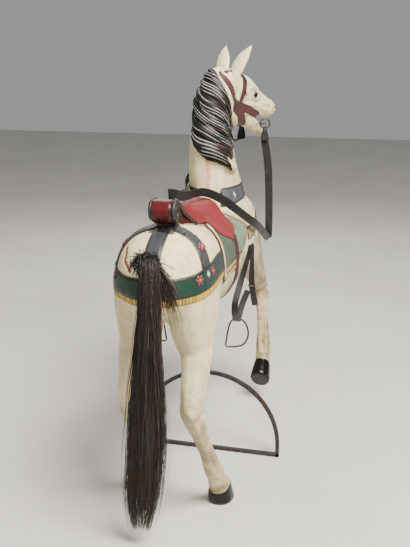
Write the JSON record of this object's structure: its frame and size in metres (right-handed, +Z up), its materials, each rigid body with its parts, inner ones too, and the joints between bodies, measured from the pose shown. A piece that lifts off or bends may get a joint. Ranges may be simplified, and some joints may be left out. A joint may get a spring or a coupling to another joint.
{
  "type": "carousel horse",
  "caption": "Carved, painted wooden carousel horse with horsehair tail, leather rein, stirrups and an iron arch stand.",
  "frame": {"origin": "centre of the underside of the stand's straight foot bar, on the floor", "axes": "+Z up, +X the way the horse faces, +Y its left side"},
  "size_m": [1.0519, 0.426, 1.1765],
  "materials": {
    "painted_wood": "aged, crackled cream paint with painted harness, saddle and mane",
    "horsehair": "coarse dark brown horsehair",
    "stand_iron": "worn dark brown paint and light rust",
    "black_leather": "black strap leather, satin, worn at the edges",
    "dark_steel": "dulled, browned steel wire"
  },
  "bodies": {
    "root": {"horse": "painted_wood", "tail": "horsehair", "stand": "stand_iron", "rein": "black_leather", "bit_ring_left": "dark_steel", "bit_pin_left": "dark_steel", "stirrup_leather_left": "black_leather", "stirrup_buckle_left": "dark_steel", "stirrup_left": "dark_steel", "bit_ring_right": "dark_steel", "bit_pin_right": "dark_steel", "stirrup_leather_right": "black_leather", "stirrup_buckle_right": "dark_steel", "stirrup_right": "dark_steel"}
  },
  "joints": []
}
